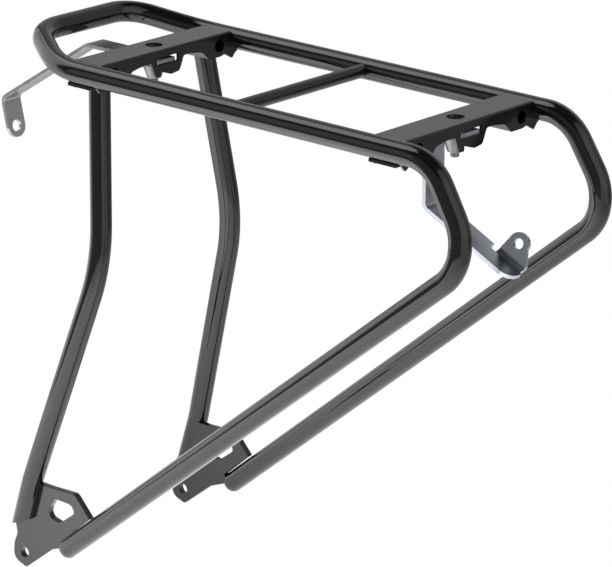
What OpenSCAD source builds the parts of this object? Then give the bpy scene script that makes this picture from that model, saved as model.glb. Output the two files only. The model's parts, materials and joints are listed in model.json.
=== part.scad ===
// Bicycle rear rack: one bent main tube, two bent legs, two folded cross plates that carry a
// sliding front stay and a sliding rear bracket, a cross tube and two dropout plates.
// Origin: halfway between the two dropout eyelets. +X right, +Y towards the saddle, +Z up.

/* [Tubes] */
// Outside diameter of the main tube and of the legs
tube_d = 16; // [15:0.5:17]
// Wall thickness of the main tube and of the legs
tube_wall = 1.5; // [1:0.1:2]
// Height of the rails' centre line above the eyelets
rail_z = 382.5; // [372.5:0.5:392.5]
// Distance between the centre lines of the two rails
rail_spacing = 149.2; // [146:0.2:152]
// Outside diameter of the cross tube
cross_tube_d = 10; // [8:0.5:12]

/* [Bends] */
// Centre line radius of the bend from each rail down to the rear
rail_bend_r = 34.5; // [30:0.5:38]
// Centre line radius of the bend from the rear drop into each diagonal
diagonal_bend_r = 36.5; // [30:0.5:40]
// Centre line radius of the bend that lifts each rail into the front loop
lift_bend_r = 80; // [60:1:90]
// Centre line radius of the two front corners of the loop
loop_bend_r = 32; // [28:1:34]
// Centre line radius of the knee in each leg
knee_bend_r = 145; // [100:1:180]
// Centre line radius of the slight bend above the foot of each leg
ankle_bend_r = 100; // [60:5:200]

/* [Cross plates] */
// Width of each cross plate along the rack
plate_w = 28; // [27:0.5:32]
// Sheet thickness of the cross plates
plate_t = 2; // [1.5:0.1:2.5]
// Place of the front cross plate's centre line
front_plate_y = -53.5; // [-58:0.5:-50]
// Place of the rear cross plate's centre line
rear_plate_y = -338.5; // [-343:0.5:-335]
// Diameter of the key hole in the top of each cross plate
key_hole_d = 13; // [11:0.5:15]
// Diameter of the accessory holes in the cross plates' flanges
flange_hole_d = 10; // [6:0.5:11]

/* [Dropout plates] */
// Thickness of each dropout plate
dropout_t = 5; // [4:0.5:6]
// Distance from the middle plane of the rack to each dropout plate's inner face
dropout_x = 85; // [84.5:0.5:86]
// Diameter of the eyelets
eyelet_d = 8.5; // [5.5:0.5:10]

/* [Stay and bracket] */
// Thickness of the stay and the bracket
strip_t = 3; // [2.5:0.5:3]
// Width of the front stay
stay_w = 17.6; // [16:0.2:20]
// Diameter of the hole in the front stay's end
stay_hole_d = 9; // [5:0.5:10]
// Width of the rear bracket
bracket_w = 20; // [18:0.5:21]
// Diameter of the hole in the rear bracket's ear
ear_hole_d = 7.6; // [5:0.2:8]
// Travel of the stay and the bracket to each side of the clamp bolt
slot_travel = 5; // [3:0.5:5]

/* [Hidden] */

black_paint = "#2b2c2d";
zinc = "#a6abb3";
dark_zinc = "#6c7076";
round_fn = 64;
arc_steps = 6;
over = 1;

tube_r = tube_d / 2;
bore_r = tube_r - tube_wall;
// Bending thins the tube's wall by this much on each side, and straights run this far into a bend
bend_thin = 0.05;
bend_lap = 0.1;
rail_x = rail_spacing / 2;

// Corners of the right half of the main tube's centre line, from the dropout to the front
diagonal_foot = [91.1, -49.5, 17.8];
rear_low = [77.3, -418, rail_z - 62.1];
rear_top = [rail_x, -379.4, rail_z];
lift_start = [rail_x, -28.3, rail_z];
loop_corner = [47.5, 18.2, rail_z + 13.4];

// Corners of the right leg's centre line, carried past both of its cut ends
leg_top = [54.6, -51.2, rail_z - 2];
leg_knee = [70.8, -67, rail_z - 141.9];
leg_ankle = [91.1, -11.4, 62];
leg_foot = [91.1, 1.4, 21];
// The leg's foot is cut on a plane through this height on the leg, falling towards the front
leg_cut_z = 27;
leg_cut_slope = 20.3;

// Gussets close the cross plates below the rails, as bent strips between the flanges' lower edges
gusset_t = 2.6;
gusset_low = -10.7;
gusset_path = [[37.7, -2.6], [44.6, gusset_low + gusset_t / 2], [77.5, gusset_low + gusset_t / 2]];
plate_top = 6.8;
fold_r = 1.5;

// The slots in the flanges, with the strips lying in them
slot_w = 22.4;
slot_low = -4.5;
slot_high = 1;
strip_z = -2.8;
strip_rest = rail_z + strip_z;
strip_gap = 0.1;

// M6 clamp bolt with a button head, a toothed washer and a conical nut
bolt_d = 6;
head_d = 10.5;
head_h = 3.3;
key_af = 4;
bolt_slot_w = 6.8;
bolt_end_z = -21.3;
washer_d = 25;
washer_t = 1.8;
washer_teeth = 24;
nut_top_d = 19;
nut_low_d = 10.4;
nut_h = 11.5;
thread_gap = 0.05;

// Front stay, as the middle line of the strip: flat, slope and tab
stay_path = [[front_plate_y - 13, strip_rest], [7.8, strip_rest], [99.2, rail_z - 60.6],
             [91.7, rail_z - 92.2]];
stay_bend_r = 6;
stay_hole_z = rail_z - 83.2;
stay_spot_d = 4.5;
stay_spot_y = -19;

// Rear bracket, as the middle line of the strip: flat, drop and arm
bracket_path = [[rear_plate_y - 13, strip_rest], [-319.9, strip_rest], [-319.9, rail_z - 59.5],
                [-395.5, rail_z - 95.7]];
bracket_bend_r = 5;
arm_angle = 25.6;
ear_from = 58;
ear_to = 82;
ear_hole_at = 67.5;
ear_reach = 9.2;
ear_tip_r = 8;
ear_lean = 70;
ear_fold_r = 5;
arm_corner_r = 10;

// ---- outlines ----
function unit(v) = v / norm(v);
function half_angle(a, p, b) = acos(unit(a - p) * unit(b - p)) / 2;
function flat(v) = [v[0], v[1]];

// Points of the arc that rounds the corner p between a and b with radius r
function round_corner(a, p, b, r) =
  r == 0 ? [p] :
  let (h = half_angle(a, p, b), u = unit(a - p), w = unit(b - p), turn = 180 - 2 * h)
  let (c = p + unit(u + w) * r / sin(h), s = p + u * r / tan(h) - c, e = p + w * r / tan(h) - c)
  [for (i = [0:arc_steps]) let (t = turn * i / arc_steps) c + (s * sin(turn - t) + e * sin(t)) / sin(turn)];

// A closed outline from corners given as [x, y, corner radius]
function outline(c) =
  let (n = len(c))
  [for (i = [0:n - 1])
    each round_corner(flat(c[(i + n - 1) % n]), flat(c[i]), flat(c[(i + 1) % n]), c[i][2])];

// Corners of a line moved sideways by d, each with its own bend radius
function left_of(a, b) = let (u = unit(b - a)) [-u[1], u[0]];
function beside(path, i, d) =
  let (last = len(path) - 1)
  let (n1 = left_of(path[max(i - 1, 0)], path[max(i, 1)]))
  let (n2 = left_of(path[min(i, last - 1)], path[min(i + 1, last)]))
  path[i] + (n1 + n2) * d / (1 + n1 * n2);
function turn_side(path, i) =
  let (a = unit(path[i] - path[i - 1]), b = unit(path[i + 1] - path[i])) sign(a[0] * b[1] - a[1] * b[0]);
function bend_at(path, i, d, r) =
  i == 0 || i == len(path) - 1 ? 0 : r - turn_side(path, i) * d;
function strip_side(path, d, r) =
  [for (i = [0:len(path) - 1]) let (p = beside(path, i, d)) [p[0], p[1], bend_at(path, i, d, r)]];
function reversed(list) = [for (i = [len(list) - 1:-1:0]) list[i]];
function strip_outline(path, t, r) =
  outline(concat(strip_side(path, t / 2, r), reversed(strip_side(path, -t / 2, r))));

// ---- bent tubes ----
function bend_trim(p, radii, i) =
  i == 0 || i == len(p) - 1 ? 0 : radii[i - 1] / tan(half_angle(p[i - 1], p[i], p[i + 1])) - bend_lap;
function mirrored(v) = [-v[0], v[1], v[2]];

// Puts +Z of its children along b - a, starting at a
module along(a, b) {
  d = b - a;
  translate(a) rotate([0, acos(d[2] / norm(d)), atan2(d[1], d[0])]) children();
}

module straight(a, b) {
  along(a, b) difference() {
    cylinder(r = tube_r, h = norm(b - a), $fn = round_fn);
    translate([0, 0, -over]) cylinder(r = bore_r, h = norm(b - a) + 2 * over, $fn = round_fn);
  }
}

// Bend of radius r round the corner p between a and b, hollow out to the radius inner
module elbow(a, p, b, r, inner) {
  h = half_angle(a, p, b);
  u = unit(a - p);
  c = p + unit(u + unit(b - p)) * r / sin(h);
  x = unit(p + u * r / tan(h) - c);
  z = cross(x, -u);
  multmatrix([[x[0], -u[0], z[0], c[0]], [x[1], -u[1], z[1], c[1]], [x[2], -u[2], z[2], c[2]], [0, 0, 0, 1]])
    rotate_extrude(angle = 180 - 2 * h, $fn = round_fn)
      translate([r, 0]) difference() {
        circle(r = tube_r - bend_thin, $fn = round_fn);
        if (inner > 0) circle(r = inner, $fn = round_fn);
      }
}

module bent_tube(p, radii) {
  for (i = [0:len(p) - 2]) {
    d = unit(p[i + 1] - p[i]);
    straight(p[i] + d * bend_trim(p, radii, i), p[i + 1] - d * bend_trim(p, radii, i + 1));
  }
  for (i = [1:len(p) - 2])
    elbow(p[i - 1], p[i], p[i + 1], radii[i - 1], bore_r + bend_thin);
}

// Half-round closed end of a tube that runs from a to b
module domed_end(a, b) {
  translate(b - a) along(a, b) difference() {
    sphere(r = tube_r - bend_thin, $fn = round_fn);
    sphere(r = bore_r + bend_thin, $fn = round_fn);
    translate([-tube_d, -tube_d, -2 * tube_d - bend_lap]) cube(2 * tube_d);
  }
}

// Children drawn in Y and Z, raised along X from x0 by h
module raise_x(x0, h) {
  multmatrix([[0, 0, 1, x0], [1, 0, 0, 0], [0, 1, 0, 0], [0, 0, 0, 1]]) linear_extrude(h) children();
}

// Children drawn in X and Z, raised along Y around y0 by h
module raise_y(y0, h) {
  translate([0, y0 + h / 2, 0]) rotate([90, 0, 0]) linear_extrude(h) children();
}

// Solid bars in the place of the two rails and their lift bends, to fit parts against them
module rail_cores() {
  bend_y = lift_start[1] - lift_bend_r / tan(half_angle(rear_top, lift_start, loop_corner));
  for (s = [0, 1]) mirror([s, 0, 0]) {
    translate([rail_x, rear_top[1], rail_z]) rotate([-90, 0, 0])
      cylinder(r = tube_r, h = bend_y + bend_lap - rear_top[1], $fn = round_fn);
    elbow(rear_top, lift_start, loop_corner, lift_bend_r, 0);
  }
}

// ---- dropout plates ----
dropout_edge = [
  [-10.5, 60.6, 0], [-30, 60.4, 0], [-54.5, 61.6, 6], [-69.9, 45.8, 1], [-44.4, 24, 0], [-50, 18.4, 0],
  [-30, 10.5, 12], [-1.5, -12, 4], [12.4, -7.5, 8], [10.9, 6, 8], [7.4, 14, 8], [9.2, 22, 1], [0, 31, 0]
];
dropout_window = [
  [-28.2, 44.7, 5], [-33.6, 52.5, 4], [-50.9, 52, 6], [-54.2, 46.2, 3], [-38.2, 34.2, 4], [-26, 36.6, 5]
];

module dropout_plate() {
  difference() {
    raise_x(dropout_x, dropout_t) difference() {
      polygon(outline(dropout_edge));
      polygon(outline(dropout_window));
    }
    translate([dropout_x - over, 0, 0]) rotate([0, 90, 0])
      cylinder(d = eyelet_d, h = dropout_t + 2 * over, $fn = round_fn);
  }
}

// The space that the plate needs in a tube, carried inwards by extra
module dropout_slot(extra) {
  raise_x(dropout_x - extra, dropout_t + extra) polygon(outline(dropout_edge));
}

// ---- tubes ----
module main_tube() {
  half = [diagonal_foot, rear_low, rear_top, lift_start, loop_corner];
  bends = [diagonal_bend_r, rail_bend_r, lift_bend_r, loop_bend_r];
  line = concat(half, reversed([for (p = half) mirrored(p)]));
  color(black_paint) difference() {
    union() {
      bent_tube(line, concat(bends, reversed(bends)));
      domed_end(rear_low, diagonal_foot);
      domed_end(mirrored(rear_low), mirrored(diagonal_foot));
    }
    dropout_slot(4);
    mirror([1, 0, 0]) dropout_slot(4);
  }
}

module leg() {
  cut = leg_ankle + (leg_foot - leg_ankle) * (leg_ankle[2] - leg_cut_z) / (leg_ankle[2] - leg_foot[2]);
  difference() {
    bent_tube([leg_top, leg_knee, leg_ankle, leg_foot], [knee_bend_r, ankle_bend_r]);
    translate([0, -100, rail_z + gusset_low]) cube([150, 100, 50]);
    translate(cut) rotate([-leg_cut_slope, 0, 0]) translate([-50, -50, -50]) cube([100, 100, 50]);
    dropout_slot(0);
  }
}

module cross_tube() {
  color(black_paint) difference() {
    translate([-rail_x, -196.5, rail_z]) rotate([0, 90, 0]) difference() {
      cylinder(d = cross_tube_d, h = rail_spacing, $fn = round_fn);
      translate([0, 0, -over]) cylinder(d = cross_tube_d - 2.4, h = rail_spacing + 2 * over, $fn = round_fn);
    }
    rail_cores();
  }
}

// ---- cross plates ----
// Front view of a cross plate from the middle to the right rail, heights from the rails' centre
flange_edge = [
  [17.2, -1.9, 2], [23, -1.6, 6], [37, -3.6, 8], [44.2, gusset_low, 2], [57.2, gusset_low, 0],
  [61.5, -9.5, 0], [69.6, -14.2, 1], [75.2, -7.7, 0], [rail_x, 0, 0], [68, plate_top, 0]
];
// The clamp's lobe under the middle, with its locating notch
lobe_edge = [
  [-12.6, -13.5, 2.5], [-7.2, -13.5, 0], [-7, -9.9, 0], [3.9, -13.5, 1], [12.6, -12.4, 3]
];
function flip(list) = [for (p = reversed(list)) [-p[0], p[1], p[2]]];

module cross_plate(y) {
  in_w = plate_w - 2 * plate_t;
  deep = plate_top + 10;
  color(black_paint) difference() {
    intersection() {
      raise_x(-rail_x, rail_spacing) translate([y, rail_z]) polygon(outline([
        [-plate_w / 2, -deep, 0], [-plate_w / 2, plate_top, fold_r], [plate_w / 2, plate_top, fold_r],
        [plate_w / 2, -deep, 0], [in_w / 2, -deep, 0], [in_w / 2, plate_top - plate_t, 0.5],
        [-in_w / 2, plate_top - plate_t, 0.5], [-in_w / 2, -deep, 0]]));
      raise_y(y, plate_w) translate([0, rail_z])
        polygon(outline(concat(flip(flange_edge), lobe_edge, flange_edge)));
    }
    rail_cores();
    translate([0, y, rail_z]) cylinder(d = key_hole_d, h = plate_top + over, $fn = round_fn);
    translate([-slot_w / 2, y - plate_w / 2 - over, rail_z + slot_low])
      cube([slot_w, plate_w + 2 * over, slot_high - slot_low]);
    for (s = [-1, 1])
      translate([s * 55.8, y - plate_w / 2 - over, rail_z - 2.3]) rotate([-90, 0, 0])
        cylinder(d = flange_hole_d, h = plate_w + 2 * over, $fn = round_fn);
  }
}

// Gusset between a cross plate's flanges, under the right rail
module gusset(y) {
  color(black_paint) raise_y(y, plate_w - 2 * plate_t) translate([0, rail_z])
    polygon(strip_outline(gusset_path, gusset_t, 2));
}

// ---- stay and bracket ----
// Slot for the clamp bolt, along Y around y
module bolt_slot(y) {
  for (s = [-1, 1])
    translate([0, y + s * slot_travel, strip_rest - strip_t])
      cylinder(d = bolt_slot_w, h = 2 * strip_t, $fn = round_fn);
  translate([-bolt_slot_w / 2, y - slot_travel, strip_rest - strip_t])
    cube([bolt_slot_w, 2 * slot_travel, 2 * strip_t]);
}

module front_stay() {
  slope = stay_path[2];
  tip = stay_path[3];
  lean = atan2(slope[0] - tip[0], slope[1] - tip[1]);
  hole_z = (stay_hole_z - slope[1]) / cos(lean);
  color(zinc) difference() {
    union() {
      raise_x(-stay_w / 2, stay_w) polygon(strip_outline([stay_path[0], stay_path[1], slope,
        slope + (tip - slope) * 0.5], strip_t, stay_bend_r));
      translate([0, slope[0], slope[1]]) rotate([-lean, 0, 0]) {
        translate([-stay_w / 2, -strip_t / 2, hole_z]) cube([stay_w, strip_t, -hole_z - 12]);
        translate([0, -strip_t / 2, hole_z]) rotate([-90, 0, 0])
          cylinder(d = stay_w, h = strip_t, $fn = round_fn);
      }
    }
    bolt_slot(front_plate_y);
    translate([0, stay_spot_y, strip_rest - strip_t])
      cylinder(d = stay_spot_d, h = 2 * strip_t, $fn = round_fn);
    translate([0, slope[0], slope[1]]) rotate([-lean, 0, 0]) translate([0, -strip_t, hole_z])
      rotate([-90, 0, 0]) cylinder(d = stay_hole_d, h = 2 * strip_t, $fn = round_fn);
  }
}

// Ear of the rear bracket, folded up along its edge at x = 0, with z = 0 its lower face
module bracket_ear() {
  outer = ear_fold_r + strip_t;
  translate([0, ear_from, outer]) rotate([-90, 0, 0]) rotate([0, 0, 90 - ear_lean])
    rotate_extrude(angle = ear_lean, $fn = round_fn) translate([ear_fold_r + bend_thin, 0])
      square([strip_t - 2 * bend_thin, ear_to - ear_from]);
  translate([0, ear_hole_at, outer]) rotate([0, -ear_lean, 0]) translate([0, 0, -outer]) difference() {
    linear_extrude(strip_t) union() {
      polygon([[-bend_lap, ear_from - ear_hole_at], [ear_reach, -ear_tip_r], [ear_reach, ear_tip_r],
        [-bend_lap, ear_to - ear_hole_at]]);
      translate([ear_reach, 0]) circle(r = ear_tip_r, $fn = round_fn);
    }
    translate([ear_reach, 0, -over]) cylinder(d = ear_hole_d, h = strip_t + 2 * over, $fn = round_fn);
  }
}

module rear_bracket() {
  corner = bracket_path[2];
  arm = norm(bracket_path[3] - corner);
  edge = bracket_w / 2;
  fold_x = edge - 6.1;
  color(zinc) difference() {
    union() {
      raise_x(-edge, bracket_w) polygon(strip_outline([bracket_path[0], bracket_path[1], corner,
        corner + (bracket_path[3] - corner) * 0.3], strip_t, bracket_bend_r));
      translate([0, corner[0], corner[1]]) rotate([arm_angle, 0, 0]) mirror([0, 1, 0]) {
        translate([0, 0, -strip_t / 2]) linear_extrude(strip_t) polygon(outline([
          [-edge, 15, 0], [-edge, arm, arm_corner_r], [fold_x, arm, 1], [fold_x, ear_from - 6, 2.5],
          [edge, ear_from - 6, 1], [edge, 15, 0]]));
        translate([fold_x - bend_lap, 0, -strip_t / 2]) bracket_ear();
      }
    }
    bolt_slot(rear_plate_y);
  }
}

// ---- clamps ----
module clamp_bolt(y) {
  seat = rail_z + strip_z + strip_t / 2 + strip_gap;
  color(dark_zinc) translate([0, y, 0]) difference() {
    union() {
      translate([0, 0, rail_z + bolt_end_z])
        cylinder(d = bolt_d, h = seat - rail_z - bolt_end_z + 0.5, $fn = round_fn);
      translate([0, 0, seat]) cylinder(d1 = head_d, d2 = head_d - 3.5, h = head_h, $fn = round_fn);
    }
    translate([0, 0, seat + head_h - 2]) cylinder(d = key_af / cos(30), h = 2 + over, $fn = 6);
  }
}

// Toothed disc under the strip, with two flats that sit against the flanges
module toothed_washer(y) {
  step = 360 / washer_teeth;
  top = rail_z + strip_z - strip_t / 2 - strip_gap;
  tooth = [for (i = [0:washer_teeth - 1]) each [
    [cos(i * step), sin(i * step)] * washer_d / 2,
    [cos((i + 0.5) * step), sin((i + 0.5) * step)] * (washer_d / 2 - 1.4)]];
  color(zinc) translate([0, y, top - washer_t]) linear_extrude(washer_t) difference() {
    intersection() {
      polygon(tooth);
      square([washer_d, plate_w - 2 * plate_t], center = true);
    }
    circle(d = bolt_d + 0.6, $fn = round_fn);
  }
}

module clamp_nut(y) {
  top = rail_z + strip_z - strip_t / 2 - strip_gap - washer_t;
  color(zinc) translate([0, y, top - nut_h]) difference() {
    union() {
      translate([0, 0, nut_h - 1.5]) cylinder(d = nut_top_d, h = 1.5, $fn = round_fn);
      cylinder(d1 = nut_low_d, d2 = nut_top_d - 1.5, h = nut_h - 1.5, $fn = round_fn);
    }
    translate([0, 0, -over]) cylinder(r = bolt_d / 2 + thread_gap, h = nut_h + 2 * over, $fn = round_fn);
  }
}

main_tube();
color(black_paint) mirror([1, 0, 0]) leg();  // left_leg
color(black_paint) leg();  // right_leg
cross_plate(front_plate_y);  // front_cross_plate
cross_plate(rear_plate_y);  // rear_cross_plate
cross_tube();
color(black_paint) mirror([1, 0, 0]) dropout_plate();  // left_dropout_plate
color(black_paint) dropout_plate();  // right_dropout_plate
mirror([1, 0, 0]) gusset(front_plate_y);  // front_left_gusset
gusset(front_plate_y);  // front_right_gusset
mirror([1, 0, 0]) gusset(rear_plate_y);  // rear_left_gusset
gusset(rear_plate_y);  // rear_right_gusset
front_stay();
rear_bracket();
clamp_bolt(front_plate_y);  // front_clamp_bolt
clamp_bolt(rear_plate_y);  // rear_clamp_bolt
toothed_washer(front_plate_y);  // front_toothed_washer
toothed_washer(rear_plate_y);  // rear_toothed_washer
clamp_nut(front_plate_y);  // front_clamp_nut
clamp_nut(rear_plate_y);  // rear_clamp_nut
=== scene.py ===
"""Looks of the bicycle rear rack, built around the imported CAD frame."""
import json
import math

import bmesh
import bpy
from mathutils import Matrix, Vector


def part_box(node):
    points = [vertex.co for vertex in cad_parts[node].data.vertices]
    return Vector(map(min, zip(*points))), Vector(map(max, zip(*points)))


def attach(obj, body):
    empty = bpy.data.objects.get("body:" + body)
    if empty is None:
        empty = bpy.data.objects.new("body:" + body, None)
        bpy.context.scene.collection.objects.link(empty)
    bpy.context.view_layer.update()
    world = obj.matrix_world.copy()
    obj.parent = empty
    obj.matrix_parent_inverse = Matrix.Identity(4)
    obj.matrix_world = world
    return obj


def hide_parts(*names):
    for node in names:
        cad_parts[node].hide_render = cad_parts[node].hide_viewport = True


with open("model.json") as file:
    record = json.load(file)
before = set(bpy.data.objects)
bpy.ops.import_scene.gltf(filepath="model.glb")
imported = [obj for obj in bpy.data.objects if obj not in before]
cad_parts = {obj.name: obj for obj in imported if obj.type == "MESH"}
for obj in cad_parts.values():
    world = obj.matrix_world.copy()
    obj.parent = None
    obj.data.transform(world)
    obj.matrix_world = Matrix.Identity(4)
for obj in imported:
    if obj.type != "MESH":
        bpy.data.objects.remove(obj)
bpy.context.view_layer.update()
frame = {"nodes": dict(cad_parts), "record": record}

NODES = frame["nodes"]
SLOT = {s["node"]: s["material_slot"] for s in frame["record"]["subparts"]}
BODY = {n: b for b, members in frame["record"]["behaviour"]["bodies"].items() for n in members}

# ---------------------------------------------------------------- camera
CAMERA_AT = (-1.829289, -1.812354, 1.052544)
CAMERA_RIGHT = (0.65984523, -0.75136731, 0.00717239)
CAMERA_UP = (0.23664875, 0.21686385, 0.94708365)
CAMERA_BACK = (-0.71316313, -0.62323129, 0.32090671)
SENSOR_MM = 36
LENS_MM = 209.81
SHIFT = (-0.01735, 0.02507)
CLIP_END = 100


def make_camera():
    data = bpy.data.cameras.new("camera")
    data.sensor_width = SENSOR_MM
    data.lens = LENS_MM
    data.shift_x, data.shift_y = SHIFT
    data.clip_end = CLIP_END
    camera = bpy.data.objects.new("camera", data)
    bpy.context.scene.collection.objects.link(camera)
    turn = Matrix([CAMERA_RIGHT, CAMERA_UP, CAMERA_BACK]).transposed()
    camera.matrix_world = Matrix.Translation(CAMERA_AT) @ turn.to_4x4()
    bpy.context.scene.camera = camera


# ---------------------------------------------------------------- node helpers
class Tree:
    """A node tree with short calls for the nodes used here."""

    def __init__(self, tree):
        self.tree = tree
        tree.nodes.clear()

    def node(self, kind, inputs=None, **settings):
        made = self.tree.nodes.new(kind)
        for key, value in settings.items():
            setattr(made, key, value)
        for key, value in (inputs or {}).items():
            self.feed(made.inputs[key], value)
        return made

    def feed(self, socket, value):
        if isinstance(value, bpy.types.NodeSocket):
            self.tree.links.new(value, socket)
        elif isinstance(value, bpy.types.Node):
            self.tree.links.new(value.outputs[0], socket)
        else:
            socket.default_value = value

    def math(self, operation, *values):
        made = self.node("ShaderNodeMath", operation=operation)
        for socket, value in zip(made.inputs, values):
            self.feed(socket, value)
        return made.outputs[0]

    def step(self, value, low, high, start=0.0, end=1.0):
        """start below low, end above high, and a smooth ramp between them"""
        made = self.node(
            "ShaderNodeMapRange",
            {"From Min": low, "From Max": high, "To Min": start, "To Max": end},
            interpolation_type="SMOOTHSTEP",
        )
        self.feed(made.inputs["Value"], value)
        return made.outputs[0]

    def total(self, values):
        result = values[0]
        for value in values[1:]:
            result = self.math("ADD", result, value)
        return result

    def band(self, value, low, high, soft):
        """1 between low and high, fading to 0 over soft to either side of them"""
        return self.math(
            "MULTIPLY",
            self.step(value, low - soft, low + soft),
            self.step(value, high - soft, high + soft, 1.0, 0.0),
        )

    def plain_to_camera(self, kind, strength, tint):
        """A light of that strength and tint, which the camera itself sees as plain white"""
        light = self.node(kind, {"Color": (*tint, 1), "Strength": strength})
        plain = self.node(kind, {"Color": (*WHITE, 1), "Strength": 1.0})
        seen = self.node("ShaderNodeLightPath").outputs["Is Camera Ray"]
        return self.node("ShaderNodeMixShader", {0: seen, 1: light, 2: plain})


# ---------------------------------------------------------------- studio
WHITE = (1.0, 1.0, 1.0)
STUDIO_TINT = (0.985, 0.992, 1.0)
WALL_LIGHT = 0.07
# Soft boxes: azimuth counted from "+x" or from "-x", its left and right ends, the lowest and
# highest elevation, the softness of the edges, all in degrees, and the strength.
SOFT_BOXES = [
    ("+x", -130, -56, -60, 62, 3.5, 0.78),
    ("+x", -121, -64, -60, 44, 9, 0.40),
    ("+x", -56, 62, -60, 50, 6, 0.48),
    ("+x", 3, 30, -5, 46, 8, 0.2),
    ("+x", 68, 122, 42, 70, 2.5, 2.3),
    ("+x", 122, 131, 49, 70, 2.5, 2.6),
    ("+x", 92, 122, 42, 70, 8, 0.6),
    ("+x", 66, 118, -60, 42, 2.5, 1.2),
    ("+x", 86, 118, -60, 40, 5, 0.75),
    ("+x", 130, 149, -6, 27, 2.5, 0.52),
    ("+x", 118, 150, -60, 40, 3, 0.1),
    ("-x", -30, 42, -60, 36, 4, 0.26),
]

FLOOR_Z = -0.0135
FLOOR_HALF = 30
TABLE_MIDDLE = (0.0, -0.17)
TABLE_EDGE = (1.0, 1.12)  # radii between which the table's light gives way to the far floor
FAR_LIGHT = 0.34


def make_world():
    """Soft boxes and dim walls by direction"""
    world = bpy.data.worlds.new("studio")
    bpy.context.scene.world = world
    world.use_nodes = True
    t = Tree(world.node_tree)
    direction = t.node("ShaderNodeTexCoord").outputs["Generated"]
    x, y, z = t.node("ShaderNodeSeparateXYZ", {"Vector": direction}).outputs
    degrees = 180 / math.pi
    elevation = t.math("MULTIPLY", t.math("ARCSINE", z), degrees)
    back_x, back_y = t.math("MULTIPLY", x, -1), t.math("MULTIPLY", y, -1)
    azimuth = {
        "+x": t.math("MULTIPLY", t.math("ARCTAN2", y, x), degrees),
        "-x": t.math("MULTIPLY", t.math("ARCTAN2", back_y, back_x), degrees),
    }
    boxes = []
    for start, left, right, low, high, soft, strength in SOFT_BOXES:
        across = t.band(azimuth[start], left, right, soft)
        shape = t.math("MULTIPLY", across, t.band(elevation, low, high, soft))
        boxes.append(t.math("MULTIPLY", shape, strength))
    light = t.math("ADD", t.total(boxes), WALL_LIGHT)
    surface = t.plain_to_camera("ShaderNodeBackground", light, STUDIO_TINT)
    t.node("ShaderNodeOutputWorld", {"Surface": surface})


def table_light(t):
    """Strength of the light table, from its own coordinates"""
    place = t.node("ShaderNodeTexCoord").outputs["Object"]
    part = t.node("ShaderNodeSeparateXYZ", {"Vector": place})
    x, y = part.outputs[0], part.outputs[1]
    radius = t.math("SQRT", t.math("ADD", t.math("MULTIPLY", x, x), t.math("MULTIPLY", y, y)))

    def facing(degrees):
        """Cosine of the angle on the table between the way outwards and that azimuth"""
        a = math.radians(degrees)
        along = t.math("ADD", t.math("MULTIPLY", x, math.cos(a)), t.math("MULTIPLY", y, math.sin(a)))
        return t.math("DIVIDE", along, t.math("MAXIMUM", radius, 0.3))

    # brightest to the front left, and dimmer outwards everywhere else
    middle = t.math("ADD", t.math("MULTIPLY", facing(152), 0.92), 1.95)
    outer = t.step(facing(135), 0.6, 1.0, 0.6, 1.05)
    inwards = t.step(radius, 0.38, 0.8, 1.0, 0.0)
    fade = t.math("ADD", t.math("MULTIPLY", outer, t.math("SUBTRACT", 1.0, inwards)), inwards)
    # dimmer to the front right, which the rails' undersides reflect
    dim = t.step(facing(55), 0.1, 0.9, 1.0, 0.55)
    glow = t.math("MULTIPLY", t.math("MULTIPLY", middle, fade), dim)
    # past the table's edge, a dim floor with a bright strip behind the rack and one in front
    edge = t.step(radius, *TABLE_EDGE)
    strip_behind = t.step(facing(-95), 0.78, 0.88, 0.0, 0.7)
    strip_in_front = t.step(facing(92), 0.82, 0.92, 0.0, 1.3)
    far = t.math("ADD", t.math("ADD", strip_behind, strip_in_front), FAR_LIGHT)
    inner = t.math("MULTIPLY", glow, t.math("SUBTRACT", 1.0, edge))
    return t.math("ADD", inner, t.math("MULTIPLY", far, edge))


def make_floor():
    mesh = bpy.data.meshes.new("floor")
    corners = [(x * FLOOR_HALF, y * FLOOR_HALF, 0) for x, y in ((-1, -1), (1, -1), (1, 1), (-1, 1))]
    mesh.from_pydata(corners, [], [(0, 1, 2, 3)])
    floor = bpy.data.objects.new("floor", mesh)
    floor.location = (*TABLE_MIDDLE, FLOOR_Z)
    bpy.context.scene.collection.objects.link(floor)
    material, t = new_material("light_table")
    surface = t.plain_to_camera("ShaderNodeEmission", table_light(t), WHITE)
    t.node("ShaderNodeOutputMaterial", {"Surface": surface})
    mesh.materials.append(material)


# ---------------------------------------------------------------- materials
def new_material(name):
    material = bpy.data.materials.new(name)
    material.use_nodes = True
    return material, Tree(material.node_tree)


def two_colors(t, factor, low, low_color, high, high_color):
    """A colour ramp from low_color below low to high_color above high"""
    ramp = t.node("ShaderNodeValToRGB", {"Fac": factor})
    for element, position, color in zip(ramp.color_ramp.elements, (low, high), (low_color, high_color)):
        element.position = position
        element.color = (*color, 1)
    return ramp.outputs["Color"]


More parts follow.
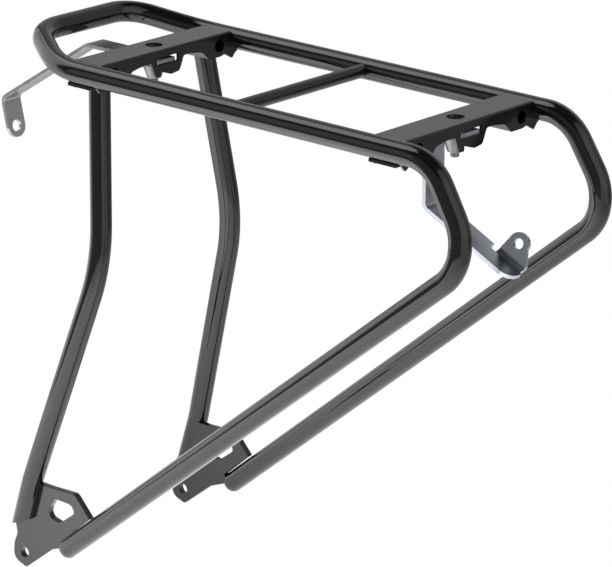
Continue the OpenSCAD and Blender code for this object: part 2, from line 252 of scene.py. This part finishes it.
def paint(name, low, high):
    """Black powder coat, low to high rough: glossy, with fine orange peel and a little dust"""
    material, t = new_material(name)
    place = t.node("ShaderNodeTexCoord").outputs["Object"]
    peel = t.node("ShaderNodeTexNoise", {"Vector": place, "Scale": 900.0, "Detail": 2.0, "Roughness": 0.5})
    cloud = t.node("ShaderNodeTexNoise", {"Vector": place, "Scale": 35.0, "Detail": 4.0, "Roughness": 0.6})
    dust = t.node("ShaderNodeTexNoise", {"Vector": place, "Scale": 2600.0, "Detail": 1.0})
    color = two_colors(t, dust.outputs["Fac"], 0.55, (0.0040, 0.0042, 0.0045), 0.80, (0.012, 0.012, 0.0125))
    rough = t.step(cloud.outputs["Fac"], 0.3, 0.7, low, high)
    bump = t.node("ShaderNodeBump", {"Strength": 0.06, "Distance": 0.0002, "Height": peel.outputs["Fac"]})
    shader = t.node(
        "ShaderNodeBsdfPrincipled",
        {"Base Color": color, "Roughness": rough, "IOR": 1.5, "Normal": bump},
    )
    t.node("ShaderNodeOutputMaterial", {"Surface": shader})
    return material


def zinc(name, bright, dull, low, high):
    """Zinc plate, low to high rough: cloudy metal with fine crystals and faint rolling marks"""
    material, t = new_material(name)
    place = t.node("ShaderNodeTexCoord").outputs["Object"]
    cells = t.node("ShaderNodeTexVoronoi", {"Vector": place, "Scale": 700.0})
    cloud = t.node("ShaderNodeTexNoise", {"Vector": place, "Scale": 60.0, "Detail": 5.0, "Roughness": 0.65})
    long_place = t.node("ShaderNodeMapping", {"Vector": place, "Scale": (900.0, 40.0, 300.0)})
    lines = t.node("ShaderNodeTexNoise", {"Vector": long_place, "Scale": 1.0, "Detail": 3.0})
    color = two_colors(t, cloud.outputs["Fac"], 0.3, dull, 0.65, bright)
    rough = t.step(cloud.outputs["Fac"], 0.3, 0.7, low, high)
    height = t.math("ADD", lines.outputs["Fac"], t.math("MULTIPLY", cells.outputs["Distance"], 0.4))
    bump = t.node("ShaderNodeBump", {"Strength": 0.04, "Distance": 0.0002, "Height": height})
    shader = t.node(
        "ShaderNodeBsdfPrincipled",
        {"Base Color": color, "Metallic": 1.0, "Roughness": rough, "Normal": bump},
    )
    t.node("ShaderNodeOutputMaterial", {"Surface": shader})
    return material


make_camera()
make_world()
make_floor()
bpy.context.scene.view_settings.view_transform = "Standard"
bpy.context.scene.view_settings.look = "None"

MATERIALS = {
    "black_paint": paint("black_paint", 0.035, 0.07),
    "plate_paint": paint("plate_paint", 0.11, 0.17),
    "zinc_strip": zinc("zinc_strip", (0.45, 0.47, 0.51), (0.37, 0.39, 0.43), 0.24, 0.34),
    "zinc_hardware": zinc("zinc_hardware", (0.20, 0.202, 0.205), (0.11, 0.112, 0.115), 0.2, 0.34),
    "zinc_stay": zinc("zinc_stay", (0.37, 0.375, 0.38), (0.30, 0.305, 0.31), 0.22, 0.32),
}
# nodes whose material differs from the one named after their slot
OWN_FINISH = {
    "front_stay": "zinc_stay",
    "front_cross_plate": "plate_paint",
    "rear_cross_plate": "plate_paint",
}

# ---------------------------------------------------------------- pieces
SHARP = math.radians(40)
BEVEL_FROM = math.radians(38)
FLAT = math.radians(0.4)
SHEET_EDGE = 0.0003
EDGES = {
    "left_dropout_plate": 0.0004,
    "right_dropout_plate": 0.0004,
    "front_toothed_washer": 0.00015,
    "rear_toothed_washer": 0.00015,
}

RING = 72  # sides of a tube
BEND_STEP = 1.6  # degrees of a bend between two rings
CAP_STEPS = 12
CAP_TURN = math.radians(89.6)  # the cap stops just short of its pole, where a small face closes it
TUBE_R = 0.008
BORE_R = 0.0065
RAIL_Z = 0.3825
# the main tube's right half: foot, rear bend, rail's rear end, rail's front end, loop's corner
MAIN_LINE = [
    (0.0911, -0.0495, 0.0178),
    (0.0773, -0.418, 0.3204),
    (0.0746, -0.3794, RAIL_Z),
    (0.0746, -0.0283, RAIL_Z),
    (0.0475, 0.0182, 0.3959),
]
MAIN_BENDS = [0.0365, 0.0345, 0.08, 0.032]
# the right leg: top, knee, ankle, foot
LEG_LINE = [
    (0.0546, -0.0512, 0.3805),
    (0.0708, -0.067, 0.2406),
    (0.0911, -0.0114, 0.062),
    (0.0911, 0.0014, 0.021),
]
LEG_BENDS = [0.145, 0.1]
LEG_END_Z = 0.027
LEG_END_SLOPE = math.radians(20.3)
LEG_SINK = 0.0004  # how far the leg's top goes into the gusset
CROSS_TUBE_R = 0.005
CROSS_TUBE_Y = -0.1965
CROSS_TUBE_X = (-0.0688, -0.034, 0.0, 0.034, 0.0688)


def finish_piece(name, mesh):
    piece = bpy.data.objects.new(name + "_skin", mesh)
    bpy.context.scene.collection.objects.link(piece)
    mesh.materials.clear()
    mesh.materials.append(MATERIALS[OWN_FINISH.get(name, SLOT[name])])
    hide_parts(name)
    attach(piece, BODY[name])
    return piece


def clean_copy(name):
    """The CAD node's mesh as a bmesh, with shared vertices joined and flat faces made whole"""
    made = bmesh.new()
    made.from_mesh(NODES[name].data)
    bmesh.ops.remove_doubles(made, verts=made.verts, dist=2e-6)
    bmesh.ops.dissolve_degenerate(made, edges=made.edges, dist=1e-6)
    bmesh.ops.dissolve_limit(made, angle_limit=FLAT, verts=made.verts, edges=made.edges)
    return made


def smooth_mesh(name, made):
    """Ends the bmesh and returns its mesh, with every face shaded smooth"""
    mesh = bpy.data.meshes.new(name)
    made.to_mesh(mesh)
    made.free()
    mesh.polygons.foreach_set("use_smooth", [True] * len(mesh.polygons))
    return mesh


def make_bevelled(name, width):
    """A piece with the CAD node's shape and rounded edges, as its sheet was cut and painted"""
    worker = bpy.data.objects.new(name + "_worker", smooth_mesh(name + "_rough", clean_copy(name)))
    bpy.context.scene.collection.objects.link(worker)
    bevel = worker.modifiers.new("edges", "BEVEL")
    bevel.width = width
    bevel.segments = 2
    bevel.limit_method = "ANGLE"
    bevel.angle_limit = BEVEL_FROM
    bevel.use_clamp_overlap = True
    bevel.miter_outer = "MITER_ARC"
    bpy.context.view_layer.update()
    graph = bpy.context.evaluated_depsgraph_get()
    mesh = bpy.data.meshes.new_from_object(worker.evaluated_get(graph))
    mesh.name = name + "_skin"
    bpy.data.objects.remove(worker)
    mesh.set_sharp_from_angle(angle=SHARP)
    weights = finish_piece(name, mesh).modifiers.new("normals", "WEIGHTED_NORMAL")
    weights.keep_sharp = True
    weights.weight = 100


def make_swept(name, made):
    bmesh.ops.recalc_face_normals(made, faces=made.faces)
    mesh = smooth_mesh(name + "_skin", made)
    mesh.set_sharp_from_angle(angle=SHARP)
    finish_piece(name, mesh)


def rounded_path(corners, radii):
    """Points along a line of corners, each corner but the two ends rounded with its radius"""
    points = [Vector(corners[0])]
    for i, radius in enumerate(radii, 1):
        p = Vector(corners[i])
        u = (Vector(corners[i - 1]) - p).normalized()
        w = (Vector(corners[i + 1]) - p).normalized()
        half = u.angle(w) / 2
        turn = math.pi - 2 * half
        centre = p + (u + w).normalized() * radius / math.sin(half)
        start = p + u * radius / math.tan(half) - centre
        end = p + w * radius / math.tan(half) - centre
        steps = max(8, round(math.degrees(turn) / BEND_STEP))
        for k in range(steps + 1):
            a = turn * k / steps
            points.append(centre + (start * math.sin(turn - a) + end * math.sin(a)) / math.sin(turn))
    points.append(Vector(corners[-1]))
    return points


def sweep(made, points, radius, scales=None):
    """A round tube of that radius along the points; returns its rings"""
    tangents = []
    for i, p in enumerate(points):
        ahead = points[min(i + 1, len(points) - 1)] - p
        back = p - points[max(i - 1, 0)]
        tangents.append((ahead.normalized() + back.normalized()).normalized())
    side = tangents[0].orthogonal().normalized()
    rings = []
    for i, p in enumerate(points):
        t = tangents[i]
        side = (side - t * side.dot(t)).normalized()
        other = t.cross(side)
        r = radius * (scales[i] if scales else 1)
        ring = [
            made.verts.new(p + (side * math.cos(a) + other * math.sin(a)) * r)
            for a in (2 * math.pi * k / RING for k in range(RING))
        ]
        if rings:
            for k in range(RING):
                n = (k + 1) % RING
                made.faces.new((rings[-1][k], rings[-1][n], ring[n], ring[k]))
        rings.append(ring)
    return rings


def dome(tip, before):
    """The points and scales, from the tip outwards, of a half round cap on the tube's end"""
    out = (tip - before).normalized()
    angles = [CAP_TURN * k / CAP_STEPS for k in range(1, CAP_STEPS + 1)]
    return [tip + out * TUBE_R * math.sin(a) for a in angles], [math.cos(a) for a in angles]


def make_main_tube():
    line = MAIN_LINE + [(-x, y, z) for x, y, z in reversed(MAIN_LINE)]
    points = rounded_path(line, MAIN_BENDS + MAIN_BENDS[::-1])
    first, first_scales = dome(points[0], points[1])
    last, last_scales = dome(points[-1], points[-2])
    scales = first_scales[::-1] + [1] * len(points) + last_scales
    made = bmesh.new()
    rings = sweep(made, first[::-1] + points + last, TUBE_R, scales)
    made.faces.new(rings[0][::-1])
    made.faces.new(rings[-1])
    make_swept("main_tube", made)


def cut(made, point, normal):
    """Removes what lies on the normal's side of the plane; returns the open edges left there"""
    bmesh.ops.bisect_plane(
        made, geom=made.verts[:] + made.edges[:] + made.faces[:], dist=1e-7,
        plane_co=point, plane_no=normal, clear_outer=True,
    )
    return [
        e for e in made.edges
        if e.is_boundary and all(abs((v.co - point).dot(normal)) < 1e-5 for v in e.verts)
    ]


def make_leg(name, side):
    """A tube with a slanted lower end and a level top, which is hidden in the gusset"""
    line = [Vector((side * x, y, z)) for x, y, z in LEG_LINE]
    points = rounded_path(line, LEG_BENDS)
    made = bmesh.new()
    sweep(made, points, TUBE_R)
    sweep(made, points, BORE_R)
    ankle, foot = line[2:]
    end = ankle + (foot - ankle) * (ankle.z - LEG_END_Z) / (ankle.z - foot.z)
    down = Vector((0, -math.sin(LEG_END_SLOPE), -math.cos(LEG_END_SLOPE)))
    bmesh.ops.bridge_loops(made, edges=cut(made, end, down))
    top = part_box("front_left_gusset")[0].z + LEG_SINK
    cut(made, Vector((0, 0, top)), Vector((0, 0, 1)))
    make_swept(name, made)


def make_cross_tube():
    made = bmesh.new()
    sweep(made, [Vector((x, CROSS_TUBE_Y, RAIL_Z)) for x in CROSS_TUBE_X], CROSS_TUBE_R)
    make_swept("cross_tube", made)


make_main_tube()
make_leg("left_leg", -1)
make_leg("right_leg", 1)
make_cross_tube()
for name in NODES:
    if name not in ("main_tube", "left_leg", "right_leg", "cross_tube"):
        make_bevelled(name, EDGES.get(name, SHEET_EDGE))
